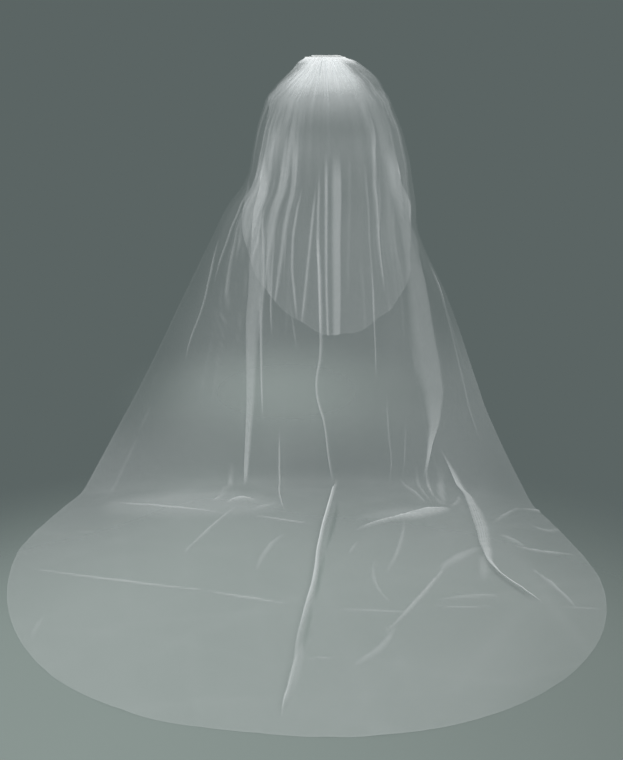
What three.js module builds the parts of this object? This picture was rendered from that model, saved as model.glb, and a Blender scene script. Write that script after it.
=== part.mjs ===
// A two-tier cathedral veil of plain net, held by a comb, with its long tier spread on the floor as a train.
// Millimetres, +Z up. The comb is at the origin, the wearer would face +Y and the train lies towards -Y.
import * as THREE from 'three';

// Driving sizes
const combToFloor = 1500;
const wall = 1;
const seat = 0.3;

const combWidth = 96;
const combBow = 8;
const combThickness = 1.8;
const spineHeight = 9;
const toothLength = 36;
const toothPitch = 6;
const toothTip = 1.4;
const toothRoot = 3;
const toothSweep = 7;

const headingWidth = 140;
const headingThickness = 6;
const headingBelow = 6;
const ruffleHeight = 1.5;
const ruffleDepth = 1.5;

const pleats = 15;
const pleatDepth = 3.2;
const pleatDepthBelow = 12;
const drapeWaves = 5;
const drapeDepth = 13;

const footLeft = 876;
const footRight = 730;
const footBack = 290;
const footEdgeLeft = 395;
const footEdgeRight = 500;
const shoulderFront = 92;
const floorBend = 45;

const trainHalfWidth = 918;
const trainShift = -78;
const widestBack = 920;
const hemReach = 855;
const trainTurn = 80;

const tierGapTop = 3.6;
const tierGapHem = 28;
const foldHeight = 24;
const foldHalf = 30;

// Sections of the fall, from the heading down to the floor. drop is the share of the fall. left and right are
// shares of the way out from the heading's half width to the foot on that side. wrap is the angle from the
// middle of the back round to the free edge. back is the share of footBack. front and foot place the free
// edge: a share of shoulderFront less a share of the foot's own edge.
const sections = [
  { drop: 0, left: 0, right: 0, wrap: 12, back: 0, front: 0, foot: 0 },
  { drop: 0.006, left: 0, right: 0, wrap: 12, back: 0.003, front: 0, foot: 0 },
  { drop: 0.035, left: 0.068, right: 0.138, wrap: 48, back: 0.12, front: 0.3, foot: 0 },
  { drop: 0.08, left: 0.15, right: 0.218, wrap: 78, back: 0.255, front: 0.8, foot: 0 },
  { drop: 0.12, left: 0.19, right: 0.268, wrap: 87, back: 0.335, front: 1, foot: 0 },
  { drop: 0.215, left: 0.236, right: 0.345, wrap: 90, back: 0.385, front: 0.95, foot: 0 },
  { drop: 0.3, left: 0.276, right: 0.382, wrap: 90, back: 0.41, front: 0.82, foot: 0 },
  { drop: 0.35, left: 0.345, right: 0.4, wrap: 89, back: 0.425, front: 0.7, foot: 0.01 },
  { drop: 0.43, left: 0.426, right: 0.43, wrap: 84, back: 0.46, front: 0.5, foot: 0.04 },
  { drop: 0.565, left: 0.556, right: 0.578, wrap: 69, back: 0.535, front: 0.2, foot: 0.12 },
  { drop: 0.77, left: 0.752, right: 0.749, wrap: 47, back: 0.7, front: 0, foot: 0.38 },
  { drop: 0.86, left: 0.848, right: 0.83, wrap: 37, back: 0.79, front: 0, foot: 0.56 },
  { drop: 1, left: 1, right: 1, wrap: 25, back: 1, front: 0, foot: 1 },
];

// Places down the sheet that the fold tables name: 0 is the heading, 1 the floor and 2 the hem of the train.
const levels = { comb: 0, shoulder: 0.12, hip: 0.43, knee: 0.75, floor: 1, widest: 1.42, hem: 2 };

// Folds of the long tier, left to right. Their middles are shares of the way from the middle line to a free
// edge. from and to are where the fold begins and dies out, half and height are shares of foldHalf and
// foldHeight, and lean is how far its crest lies over to the right, as a share of foldHeight.
const longFolds = [
  { comb: -0.86, shoulder: -0.86, hip: -0.82, knee: -0.77, floor: -0.72, widest: -0.7, hem: -0.7,
    from: 0.3, to: 0.95, half: 0.5, height: 0.4, lean: 0 },
  { comb: -0.64, shoulder: -0.61, hip: -0.42, knee: -0.37, floor: -0.32, widest: -0.33, hem: -0.34,
    from: 0.05, to: 1.1, half: 0.9, height: 0.6, lean: -0.5 },
  { comb: -0.22, shoulder: -0.22, hip: -0.21, knee: -0.205, floor: -0.18, widest: -0.12, hem: -0.2,
    from: 0.8, to: 1.25, half: 0.5, height: 0.4, lean: 0 },
  { comb: -0.05, shoulder: -0.05, hip: -0.045, knee: -0.03, floor: 0.046, widest: 0.054, hem: -0.08,
    from: 0.35, to: 1.97, half: 0.6, height: 0.75, lean: -0.3 },
  { comb: 0.33, shoulder: 0.325, hip: 0.31, knee: 0.303, floor: 0.3, widest: 0.3, hem: 0.3,
    from: 0.4, to: 0.9, half: 0.5, height: 0.35, lean: 0 },
  { comb: 0.49, shoulder: 0.5, hip: 0.675, knee: 0.655, floor: 0.52, widest: 0.5, hem: 0.48,
    from: 0.05, to: 1.1, half: 1.2, height: 0.7, lean: 0.6 },
  { comb: 0.8, shoulder: 0.8, hip: 0.86, knee: 0.76, floor: 0.67, widest: 0.645, hem: 0.8,
    from: 0.82, to: 1.65, half: 0.8, height: 0.6, lean: -0.6 },
];

// Folds of the short tier, in the same terms, measured down the long tier's levels.
const shortFolds = [
  { comb: -0.37, shoulder: -0.38, hip: -0.5, knee: -0.56, from: 0.1, to: 0.5, half: 0.6, height: 0.35 },
  { comb: -0.25, shoulder: -0.255, hip: -0.25, knee: -0.28, from: 0.12, to: 0.7, half: 0.5, height: 0.4 },
  { comb: -0.12, shoulder: -0.12, hip: -0.13, knee: -0.13, from: 0.2, to: 0.75, half: 0.5, height: 0.35 },
  { comb: 0.06, shoulder: 0.06, hip: 0.065, knee: 0.06, from: 0.12, to: 0.8, half: 0.7, height: 0.5 },
  { comb: 0.38, shoulder: 0.35, hip: 0.37, knee: 0.38, from: 0.1, to: 0.65, half: 0.5, height: 0.35 },
  { comb: 0.48, shoulder: 0.49, hip: 0.55, knee: 0.59, from: 0.1, to: 0.5, half: 0.6, height: 0.3 },
];

// The short tier's free edges, as shares: the side of the smooth sheet that each lies on once the tier is drawn
// in, the level where that is done, and the part of the side that stays as it is.
const shortEdges = { left: 0.66, right: 0.74, drawnIn: 0.16, kept: 0.9 };

// Hem of the short tier, from the left free edge to the right: how far down it reaches, as a share of the fall.
const shortHem = [
  { side: -0.66, reach: 0.27 },
  { side: -0.54, reach: 0.34 },
  { side: -0.44, reach: 0.41 },
  { side: -0.34, reach: 0.53 },
  { side: -0.12, reach: 0.61 },
  { side: 0.1, reach: 0.64 },
  { side: 0.34, reach: 0.6 },
  { side: 0.5, reach: 0.55 },
  { side: 0.66, reach: 0.45 },
  { side: 0.74, reach: 0.38 },
];

// Ridges that lie across the train on the floor. x is a share of trainHalfWidth from the middle of the train,
// y a share of the way from the foot of the fall to the hem, at the start and the end of the ridge.
const floorRidges = [
  { fromX: 0.56, fromY: 0.15, toX: 0.2, toY: 0.27, half: 0.9, height: 0.7 },
  { fromX: 0.49, fromY: 0.43, toX: 0.19, toY: 0.76, half: 0.8, height: 0.45 },
  { fromX: 0.74, fromY: 0.34, toX: 0.95, toY: 0.38, half: 0.7, height: 0.35 },
  { fromX: -0.73, fromY: 0.13, toX: -0.32, toY: 0.18, half: 0.7, height: 0.3 },
  { fromX: -0.25, fromY: 0.14, toX: -0.42, toY: 0.38, half: 0.7, height: 0.35 },
];

const mix = (a, b, share) => a + (b - a) * share;
const clamp = (value) => Math.min(1, Math.max(0, value));
const ease = (share) => clamp(share) ** 2 * (3 - 2 * clamp(share));
const radians = (degrees) => (degrees * Math.PI) / 180;

// Value at a place on the smooth curve through a list of places and values.
function curveThrough(places, values, place) {
  const last = places.length - 1;
  const at = Math.min(1, Math.max(0, (place - places[0]) / (places[last] - places[0])));
  const x = mix(places[0], places[last], at);
  let i = 0;
  while (i < last - 1 && x > places[i + 1]) i += 1;
  const slope = (k) => {
    const a = Math.max(0, k - 1);
    const b = Math.min(last, k + 1);
    return (values[b] - values[a]) / (places[b] - places[a]);
  };
  const span = places[i + 1] - places[i];
  const w = (x - places[i]) / span;
  const start = values[i] + slope(i) * span * w;
  const end = values[i + 1] - slope(i + 1) * span * (1 - w);
  return mix(start, end, w * w * (3 - 2 * w));
}

const drops = sections.map((row) => row.drop);
const sectionAt = (column, drop) => curveThrough(drops, sections.map((row) => row[column]), drop);

const headingSetback = combThickness / 2 + seat + headingThickness / 2 + ruffleDepth / 2;
const headingLean = tierGapTop / 4;
const rimDip = (headingThickness / 2) * (headingLean / (ruffleHeight + headingBelow));
const fallTop = -(headingBelow + rimDip + seat + 0.4 * wall);
const fallHeight = combToFloor + fallTop - wall / 2;

// A point of the smooth fall: side runs from -1 at the left free edge to 1 at the right one, and drop from 0
// at the heading to 1 at the floor. Each section is an arc whose width, depth and wrap come from the table.
function fallPoint(side, drop) {
  const wrap = radians(sectionAt('wrap', drop));
  const foot = side < 0 ? footLeft : footRight;
  const out = sectionAt(side < 0 ? 'left' : 'right', drop);
  const halfWidth = mix(headingWidth / 2, foot, out);
  const back = -mix(headingSetback, footBack, sectionAt('back', drop));
  const footEdge = mix(footEdgeLeft, footEdgeRight, (side + 1) / 2);
  const bow = combBow * (1 - ease(drop / 0.06));
  const flat = bow - headingSetback * (1 - ease(drop / 0.06));
  const edge = flat + sectionAt('front', drop) * shoulderFront - sectionAt('foot', drop) * footEdge;
  const x = (halfWidth * Math.sin(side * wrap)) / Math.sin(Math.min(wrap, Math.PI / 2));
  const y = mix(back, edge, (1 - Math.cos(side * wrap)) / (1 - Math.cos(wrap)));
  return new THREE.Vector3(x, y, fallTop - drop * fallHeight);
}

// A point of the train on the floor: along runs from 0 at the foot of the fall to 1 at the hem. Past its
// widest line the sheet is a half oval, whose corners are rounded by drawing the grid in towards them.
function trainPoint(side, along) {
  const foot = fallPoint(side, 1);
  const widest = (widestBack - footBack) / (widestBack - footBack + hemReach);
  if (along < widest) {
    const w = along / widest;
    const x = mix(foot.x, trainShift + trainHalfWidth * side, 1 - (1 - w) ** 1.4);
    const y = mix(foot.y, -widestBack - trainTurn * side, w);
    return new THREE.Vector3(x, y, foot.z);
  }
  const w = (along - widest) / (1 - widest);
  const across = side * Math.sqrt(1 - (w * w) / 2);
  const x = trainShift + trainHalfWidth * across;
  const y = -widestBack - hemReach * w * Math.sqrt(1 - (side * side) / 2) - trainTurn * across;
  return new THREE.Vector3(x, y, foot.z);
}

// The whole smooth sheet, with down from 0 at the heading through 1 at the floor to 2 at the hem. The turn
// on to the floor is rounded: both parts are slowed down near it, and their moves are added.
function sheetPoint(side, down) {
  const turn = floorBend / fallHeight;
  const past = down - 1;
  const train = Math.abs(past) < turn ? (past + turn) ** 2 / (4 * turn) : Math.max(0, past);
  const hang = 1 + Math.min(0, past - train);
  const point = fallPoint(side, hang);
  if (train === 0) return point;
  return point.add(trainPoint(side, train)).sub(fallPoint(side, 1));
}

const foldLevel = (fold, down) => {
  const names = Object.keys(levels).filter((name) => name in fold);
  return curveThrough(names.map((name) => levels[name]), names.map((name) => fold[name]), down);
};
const foldStrength = (fold, down) =>
  ease((down - fold.from) / 0.2) * ease((fold.to - down) / 0.15);

// Half the width of the sheet at a level, which turns a fold's width into a share of the side.
function halfSpan(down) {
  if (down > 1) return trainHalfWidth;
  return mix(headingWidth / 2, (footLeft + footRight) / 2, sectionAt('left', down));
}

// The sheet's columns follow its folds: some columns stay in each fold and the rest share the cloth between.
const foldShares = { columns: 0.4, room: 0.3 };

function columnStops(down) {
  const spacing = 1 / (longFolds.length + 1);
  const stops = [{ column: -1, side: -1 }];
  longFolds.forEach((fold, index) => {
    const middle = 2 * (index + 1) * spacing - 1;
    const centre = foldLevel(fold, down);
    const half = Math.min(foldShares.room * spacing, (fold.half * foldHalf) / halfSpan(down));
    stops.push({ column: middle - foldShares.columns * spacing, side: centre - half });
    stops.push({ column: middle, side: centre });
    stops.push({ column: middle + foldShares.columns * spacing, side: centre + half });
  });
  stops.push({ column: 1, side: 1 });
  return stops;
}

// Reads one name of the stops against the other: the side that a column lies on, or the column on a side.
function readStops(down, from, to, value) {
  const stops = columnStops(down);
  const next = Math.max(1, stops.findIndex((stop) => stop[from] >= value - 1e-9));
  const a = stops[next - 1];
  const b = stops[next];
  return mix(a[to], b[to], (value - a[from]) / (b[from] - a[from]));
}

const sideAt = (column, down) => readStops(down, 'column', 'side', column);
const columnAt = (side, down) => readStops(down, 'side', 'column', side);

// Height of the fold that a side share lies in, from 0 outside it to 1 on its crest.
function crest(fold, side, down) {
  const half = (fold.half * foldHalf) / halfSpan(down);
  const away = Math.abs(side - foldLevel(fold, down)) / half;
  return away < 1 ? Math.cos((away * Math.PI) / 2) ** 2 * foldStrength(fold, down) : 0;
}

// Waves of the gathers near the comb and of the loose cloth below. They grow calm near the free edges.
const calmFrom = { side: 0.8 };

function waves(side, down) {
  const column = columnAt(side, down);
  const depth = mix(pleatDepth, pleatDepthBelow, ease(down / 0.1)) * (1 - ease(down / 0.3));
  const drape = drapeDepth * ease((down - 0.08) / 0.3) * (1 - ease((down - 0.6) / 0.4));
  const calm = 1 - 0.7 * ease((Math.abs(side) - calmFrom.side) / (1 - calmFrom.side)) * ease(down / 0.1);
  const gathered = Math.cos(Math.PI * pleats * (column + 1)) * depth;
  return (gathered + Math.sin(Math.PI * drapeWaves * (column + 0.08)) * drape) * calm;
}

// Outward direction and the direction across the sheet, from its slopes both ways.
function directions(side, down) {
  const step = 0.004;
  const across = sheetPoint(side + step, down).sub(sheetPoint(side - step, down)).normalize();
  const ahead = sheetPoint(side, Math.min(2, down + step));
  const along = ahead.sub(sheetPoint(side, Math.max(0, down - step)));
  return { across, out: along.cross(across).normalize() };
}

// Height of the ridges that lie across the floor, at a point of the train.
function floorRidge(point) {
  let height = 0;
  for (const ridge of floorRidges) {
    const start = new THREE.Vector2(ridge.fromX * trainHalfWidth, ridge.fromY);
    const end = new THREE.Vector2(ridge.toX * trainHalfWidth, ridge.toY);
    for (const stop of [start, end]) {
      stop.x += trainShift;
      stop.y = -mix(footBack, widestBack + hemReach, stop.y);
    }
    const line = end.clone().sub(start);
    const away = new THREE.Vector2(point.x, point.y).sub(start);
    const share = away.dot(line) / line.lengthSq();
    if (share <= 0 || share >= 1) continue;
    const off = Math.abs(away.cross(line)) / line.length() / (ridge.half * foldHalf);
    if (off < 1) height += ridge.height * foldHeight * Math.cos((off * Math.PI) / 2) ** 2 * Math.sin(share * Math.PI);
  }
  return height;
}

function longPoint(column, down) {
  const side = sideAt(column, down);
  const { across, out } = directions(side, down);
  const point = sheetPoint(side, down);
  let rise = waves(side, down);
  let lean = 0;
  for (const fold of longFolds) {
    const share = crest(fold, side, down);
    rise += share * fold.height * foldHeight;
    lean += share * fold.lean * foldHeight * ease((down - 0.66) / 0.15);
  }
  point.addScaledVector(out, rise).addScaledVector(across, lean);
  if (down > 1) point.z += floorRidge(point) * ease((down - 1) / 0.1);
  return point;
}

// The side that a column of the short tier lies on, with its free edges drawn in.
function shortSide(column, down) {
  const side = sideAt(column, down);
  const edge = side < 0 ? shortEdges.left : shortEdges.right;
  const kept = edge * shortEdges.kept;
  if (Math.abs(side) < kept) return side;
  const drawnIn = mix(1, (edge - kept) / (1 - kept), ease(down / shortEdges.drawnIn));
  return Math.sign(side) * (kept + (Math.abs(side) - kept) * drawnIn);
}

// How far down a column of the short tier reaches: found in a few passes, because its side changes on the way.
function shortReach(column) {
  const sides = shortHem.map((row) => row.side);
  const reaches = shortHem.map((row) => row.reach);
  let reach = reaches[0];
  for (let pass = 0; pass < 12; pass += 1) {
    reach = mix(reach, curveThrough(sides, reaches, shortSide(column, reach)), 0.6);
  }
  return reach;
}

// The short tier lies over the long one: it takes the long tier's waves and folds and stands clear of them by
// a gap that opens towards its hem.
function shortPoint(column, share) {
  const down = share * shortReach(column);
  const side = shortSide(column, down);
  const { out } = directions(side, down);
  let rise = waves(side, down) + mix(tierGapTop, tierGapHem, share ** 0.35);
  for (const fold of [...longFolds, ...shortFolds]) rise += crest(fold, side, down) * fold.height * foldHeight;
  return sheetPoint(side, down).addScaledVector(out, rise);
}

// A closed wall of even thickness on a grid of middle points, with rows running down and columns across.
function wallGeometry(pointAt, columnPlaces, rowPlaces, thickness) {
  const grid = rowPlaces.map((row) => columnPlaces.map((column) => pointAt(column, row)));
  const rows = grid.length;
  const columns = grid[0].length;
  const positions = [];
  for (const face of [0.5, -0.5]) {
    for (let r = 0; r < rows; r += 1) {
      for (let c = 0; c < columns; c += 1) {
        const across = grid[r][Math.min(columns - 1, c + 1)].clone().sub(grid[r][Math.max(0, c - 1)]);
        const along = grid[Math.min(rows - 1, r + 1)][c].clone().sub(grid[Math.max(0, r - 1)][c]);
        const out = along.cross(across).normalize();
        positions.push(...grid[r][c].clone().addScaledVector(out, face * thickness));
      }
    }
  }
  const at = (face, r, c) => face * rows * columns + r * columns + c;
  const faces = [];
  const quad = (a, b, c, d) => faces.push(a, b, c, a, c, d);
  for (let r = 0; r < rows - 1; r += 1) {
    for (let c = 0; c < columns - 1; c += 1) {
      quad(at(0, r, c), at(0, r + 1, c), at(0, r + 1, c + 1), at(0, r, c + 1));
      quad(at(1, r, c), at(1, r, c + 1), at(1, r + 1, c + 1), at(1, r + 1, c));
    }
    quad(at(1, r, 0), at(1, r + 1, 0), at(0, r + 1, 0), at(0, r, 0));
    quad(at(0, r, columns - 1), at(0, r + 1, columns - 1), at(1, r + 1, columns - 1), at(1, r, columns - 1));
  }
  for (let c = 0; c < columns - 1; c += 1) {
    quad(at(1, 0, c), at(0, 0, c), at(0, 0, c + 1), at(1, 0, c + 1));
    quad(at(0, rows - 1, c), at(1, rows - 1, c), at(1, rows - 1, c + 1), at(0, rows - 1, c + 1));
  }
  const geometry = new THREE.BufferGeometry();
  geometry.setAttribute('position', new THREE.Float32BufferAttribute(positions, 3));
  geometry.setIndex(faces);
  geometry.computeVertexNormals();
  return geometry;
}

const evenSteps = (from, to, count) => Array.from({ length: count + 1 }, (_, i) => mix(from, to, i / count));

const stepsPerPleat = 4;
const acrossSheet = evenSteps(-1, 1, pleats * stepsPerPleat);
const fallRows = evenSteps(0, 1, 15).map((share) => 0.95 * share ** 1.8);
const turnRows = [0.985, 1.012, 1.05];
const trainRows = evenSteps(1.1, 2, 9);

const net = () => new THREE.MeshStandardMaterial({
  color: 0xf3f6f4, roughness: 0.85, metalness: 0, transparent: true, opacity: 0.35, side: THREE.DoubleSide,
});

function longTier() {
  const geometry = wallGeometry(longPoint, acrossSheet, [...fallRows, ...turnRows, ...trainRows], wall);
  return new THREE.Mesh(geometry, net());
}

function shortTier() {
  const rows = evenSteps(0, 1, 12).map((share) => share ** 1.6);
  return new THREE.Mesh(wallGeometry(shortPoint, acrossSheet, rows, wall), net());
}

// The gathered tops of both tiers, stitched into one firm pleated band with a small ruffle along its top.
function gatheredHeading() {
  const bandPoint = (column, share) => {
    const point = fallPoint(column, 0);
    const wave = Math.cos(Math.PI * pleats * (column + 1));
    point.z = mix(ruffleHeight + wave * ruffleDepth, -headingBelow, share);
    point.y += (wave * ruffleDepth * (1 - share)) / 2 - headingLean * share;
    return point;
  };
  const rows = [0, 0.3, 0.6, 1];
  return new THREE.Mesh(wallGeometry(bandPoint, acrossSheet, rows, headingThickness), net());
}

// A plain bowed hair comb: a spine that fills the space behind the heading, and tapered teeth.
function comb() {
  const teeth = Math.floor((combWidth - toothRoot) / toothPitch);
  const places = [{ x: -combWidth / 2, length: spineHeight }];
  for (let tooth = 0; tooth < teeth; tooth += 1) {
    const middle = (tooth - (teeth - 1) / 2) * toothPitch;
    places.push({ x: middle - toothRoot / 2, length: spineHeight });
    places.push({ x: middle - toothTip / 2, length: spineHeight + toothLength });
    places.push({ x: middle + toothTip / 2, length: spineHeight + toothLength });
    places.push({ x: middle + toothRoot / 2, length: spineHeight });
  }
  places.push({ x: combWidth / 2, length: spineHeight });
  const point = ({ x, length }, share) => {
    const depth = share * length;
    const sweep = toothSweep * (depth / (spineHeight + toothLength)) ** 2;
    const bow = combBow * (x / (headingWidth / 2)) ** 2;
    return new THREE.Vector3(x, bow + sweep, -depth);
  };
  const horn = new THREE.MeshStandardMaterial({ color: 0xe9ecea, roughness: 0.3, metalness: 0 });
  return new THREE.Mesh(wallGeometry(point, places, [0, 0.4, 1], combThickness), horn);
}

const veil = new THREE.Group();
const pieces = { comb, gathered_heading: gatheredHeading, short_tier: shortTier, long_tier: longTier };
for (const [name, make] of Object.entries(pieces)) {
  const mesh = make();
  mesh.name = name;
  veil.add(mesh);
}

export default veil;
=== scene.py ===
import math
from collections import namedtuple

import bpy
import numpy as np
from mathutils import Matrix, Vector

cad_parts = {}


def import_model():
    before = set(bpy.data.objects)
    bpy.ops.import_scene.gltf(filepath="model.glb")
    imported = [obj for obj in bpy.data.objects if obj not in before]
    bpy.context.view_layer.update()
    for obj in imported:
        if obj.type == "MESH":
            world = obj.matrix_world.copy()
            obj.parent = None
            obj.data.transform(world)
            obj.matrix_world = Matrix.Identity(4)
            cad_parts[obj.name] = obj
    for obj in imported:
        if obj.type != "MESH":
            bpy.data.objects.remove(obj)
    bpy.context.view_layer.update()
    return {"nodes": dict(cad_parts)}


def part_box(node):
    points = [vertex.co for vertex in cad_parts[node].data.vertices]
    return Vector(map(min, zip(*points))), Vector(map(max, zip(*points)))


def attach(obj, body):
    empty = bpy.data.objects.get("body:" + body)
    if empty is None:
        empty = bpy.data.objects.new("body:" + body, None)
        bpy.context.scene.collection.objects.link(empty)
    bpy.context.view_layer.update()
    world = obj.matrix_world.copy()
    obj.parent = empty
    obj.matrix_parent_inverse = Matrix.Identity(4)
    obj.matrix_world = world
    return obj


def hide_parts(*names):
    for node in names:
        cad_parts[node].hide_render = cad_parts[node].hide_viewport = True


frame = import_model()

# Sizes in metres. The comb is at the origin, the floor is the long tier's lowest point.
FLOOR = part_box("long_tier")[0].z
HEADING_LOW, HEADING_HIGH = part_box("gathered_heading")
HEADING_HALF = 0.070
HEADING_BOW = 0.008
HEADING_SETBACK = 0.0052
FALL_TOP = -0.0071
FALL_FOOT = FLOOR + 0.0012
FOOT_LEFT, FOOT_RIGHT = 0.876, 0.730
FOOT_BACK = 0.290
FOOT_EDGE_LEFT, FOOT_EDGE_RIGHT = 0.395, 0.500
SHOULDER_FRONT = 0.092
TRAIN_HALF = 0.918
TRAIN_SHIFT = -0.078
WIDEST_BACK = 0.920
WIDEST_LEVEL = 1.42
HEM_REACH = 0.855
TRAIN_TURN = 0.080
HEM_TURN_LEFT = -0.010
FLOOR_BEND = 0.030
FLOOR_EASE = 0.002
TIER_GAP_TOP, TIER_GAP_HEM = 0.0036, 0.028
CUT_WIDTH, CUT_LENGTH = 1.95, 3.05
SHORT_WIDTH, SHORT_LENGTH = 1.1, 1.0

# The sides at which the short tier's free edges lie, and the level down to which they are drawn in.
SHORT_EDGE_LEFT, SHORT_EDGE_RIGHT = 0.66, 0.74
SHORT_DRAWN = 0.16

# The grids: places across each sheet and levels down it, closer where the cloth bends more. The short
# tier's reach is found from a table of rows, in a few rounds.
TRAIN_START = 0.975
LONG_COLUMNS = np.linspace(-1, 1, 341)
LONG_ROWS = np.concatenate((TRAIN_START * np.linspace(0, 1, 102)[:-1] ** 1.3,
                            np.linspace(TRAIN_START, 2, 190)))
SHORT_COLUMNS = np.linspace(-1, 1, 421)
SHORT_ROWS = np.linspace(0, 1, 170) ** 1.2
LOWEST_REACH, REACH_ROWS = 0.7, 140
HEADING_COLUMNS = np.linspace(-1, 1, 521)[None, :]
HEADING_ROWS = np.linspace(0, 1, 22)[:, None]
HEADING_FLUTES, HEADING_CRINKLES = 43, 97
REACH_ROUNDS = 12

# Layers of net. One layer hides NET_ALPHA of what lies behind it. The cloth that hangs is drawn flat by
# its own weight and counts for less than one, and for a little more low down, where it is fuller. A
# cut edge adds a little, and so does each metre of height of the train's low ripples.
NET_ALPHA = 0.118
SHORT_NET = 0.45
HANGING_NET, HANGING_MORE = 0.70, 0.22
EDGE_WIDTH, EDGE_LAYERS = 0.006, 0.2
RIPPLE_LAYERS = 30
SLANT_LEAST, SLANT_POWER = 0.35, 0.7

# Levels at which the marks of the floor and the look of laid cloth begin, and over how far they grow.
MARKS_START, MARKS_OVER = 0.94, 0.08
LAID_START, LAID_OVER = 0.75, 0.30

# How the layers thin out on the left half and on the right one: by how much, from where, over how far.
GATHERS_THIN = (0.92, 0.35, 0.50), (0.96, 0.15, 0.55)
FALL_THINS = (0.75, 0.50, 0.50), (0.60, 0.45, 0.40)
FALL_THICKENS = (1.0, 0.84, 0.14), (0.9, 0.60, 0.18)

# Sections of the fall from the heading to the floor: share of the fall, shares of the way out to the
# left and the right foot, wrap angle in degrees, share of FOOT_BACK, share of SHOULDER_FRONT, share of
# the foot's edge.
SECTION_COLUMNS = ("drop", "left", "right", "wrap", "back", "front", "foot")
SECTIONS = np.array([
    (0.000, 0.000, 0.000, 12, 0.000, 0.00, 0.00),
    (0.006, 0.012, 0.024, 18, 0.020, 0.05, 0.00),
    (0.035, 0.068, 0.138, 48, 0.120, 0.30, 0.00),
    (0.080, 0.150, 0.218, 78, 0.255, 0.80, 0.00),
    (0.120, 0.190, 0.268, 87, 0.335, 1.00, 0.00),
    (0.215, 0.236, 0.345, 90, 0.385, 0.95, 0.00),
    (0.300, 0.276, 0.382, 90, 0.410, 0.82, 0.00),
    (0.350, 0.345, 0.400, 89, 0.425, 0.70, 0.01),
    (0.430, 0.426, 0.430, 84, 0.460, 0.50, 0.04),
    (0.565, 0.556, 0.578, 69, 0.535, 0.20, 0.12),
    (0.770, 0.752, 0.749, 47, 0.700, 0.00, 0.38),
    (0.860, 0.848, 0.830, 37, 0.790, 0.00, 0.56),
    (1.000, 1.000, 1.000, 25, 1.000, 0.00, 1.00),
])

# Folds, left to right. A fold lies between two levels of the sheet, 0 at the heading, 1 at the floor
# and 2 at the hem of the train. middles are shares of the side and halves are half widths, both at even
# steps from begin to end. lean is how far it lies over to the right, layers is the extra net pressed
# into it, and flat is 1 for a round rib and more for a pleat with a flat top.
Fold = namedtuple("Fold", "begin end middles halves height lean layers flat")
LONG_FOLDS = [
    Fold(.41, .73, (-.84, -.80, -.775, -.763, -.775, -.760),
         (.003, .0045, .003), .006, .000, 1.3, 1),
    Fold(.27, .54, (-.86, -.745, -.725, -.731, -.726), (.004, .0055, .003), .005, .000, 1.3, 1),
    Fold(.22, 1.03, (-.60, -.485, -.415, -.393, -.365, -.340, -.318),
         (.007, .012, .022, .017, .011, .006), .006, -.004, 1.15, 5),
    Fold(.32, .86, (-.46, -.372, -.350, -.32, -.285), (.004, .006, .003), .006, .000, 1.8, 1),
    Fold(.40, .66, (-.315, -.312, -.305, -.295, -.275), (.003, .004, .003), .005, .000, 1.5, 1),
    Fold(.86, 1.18, (-.205, -.195, -.178, -.150, -.105), (.003, .006, .003), .007, .002, 1.9, 1),
    Fold(.55, .70, (-.195, -.165, -.135), (.003, .004, .003), .004, .000, 0.8, 1),
    Fold(.38, 1.02, (-.055, -.035, -.025, -.020, -.021, -.037, .000, .022, .046),
         (.004, .006, .006, .005, .008), .009, -.003, 1.7, 1),
    Fold(.99, 1.97, (.060, .063, .058, .055, .047, .021, -.004, -.025, -.072),
         (.010, .0065, .007, .009, .010, .010, .007), .015, -.006, 3.4, 1.3),
    Fold(.48, .77, (.325, .308, .306, .306, .302), (.003, .004, .003), .005, .000, 1.5, 1),
    Fold(.78, 1.02, (.370, .358, .350, .340, .300), (.003, .005, .003), .006, .000, 0.9, 1),
    Fold(.84, 1.00, (.470, .448, .428, .405, .375), (.003, .005, .003), .005, .000, 0.8, 1),
    Fold(.19, .99, (.574, .573, .655, .745, .687, .655, .650, .655, .643, .567, .490),
         (.020, .021, .036, .054, .047, .048, .051, .051, .033, .0100, .008), .006, .004, 0.75, 5),
    Fold(.91, 1.58, (.620, .675, .686, .682, .672, .660, .668, .728, .800),
         (.003, .012, .024, .029, .026, .018, .006, .003, .003), .013, -.010, 1.35, 3),
    Fold(.46, .90, (.93, .91, .89, .87), (.004, .006, .004), .005, .000, 0.5, 1),
]
SHORT_FOLDS = [
    Fold(.09, .45, (-.56, -.57, -.59, -.61), (.006, .010, .006), .006, .000, 0.4, 1),
    Fold(.10, .47, (-.37, -.41, -.460, -.51, -.505, -.495, -.530),
         (.009, .017, .024, .023, .013), .006, .000, 0.6, 1.6),
    Fold(.30, .50, (-.455, -.425, -.405, -.420, -.435), (.003, .005, .003), .004, .000, 1.2, 1),
    Fold(.15, .62, (-.295, -.320, -.338, -.330, -.312, -.290),
         (.008, .012, .009, .004), .006, .000, 1.0, 1.3),
    Fold(.16, .60, (-.235, -.237, -.246, -.258, -.280), (.006, .008, .004), .006, .000, 1.3, 1),
    Fold(.28, .62, (-.170, -.178, -.183, -.165, -.140), (.003, .005, .004), .005, .000, 1.8, 1),
    Fold(.28, .64, (-.070, -.078, -.092, -.108, -.125), (.003, .005, .004), .005, .000, 1.8, 1),
    Fold(.24, .66, (-.048, -.044, -.038, -.030, -.020), (.003, .005, .004), .006, .000, 1.6, 1),
    Fold(.20, .72, (.006, .007, .008, .014, .026), (.004, .006, .006), .007, .000, 2.0, 1),
    Fold(.20, .72, (.076, .074, .072, .069, .066), (.008, .013, .013), .007, .004, 1.5, 3),
    Fold(.22, .64, (.270, .282, .300, .300, .300), (.003, .004, .003), .005, .000, 0.7, 1),
    Fold(.11, .55, (.405, .385, .350, .353, .372, .378, .380),
         (.005, .007, .004), .006, .000, 1.25, 1),
    Fold(.10, .40, (.480, .490, .510, .550, .590), (.006, .012, .006), .005, .000, 0.15, 1.5),
]

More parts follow.
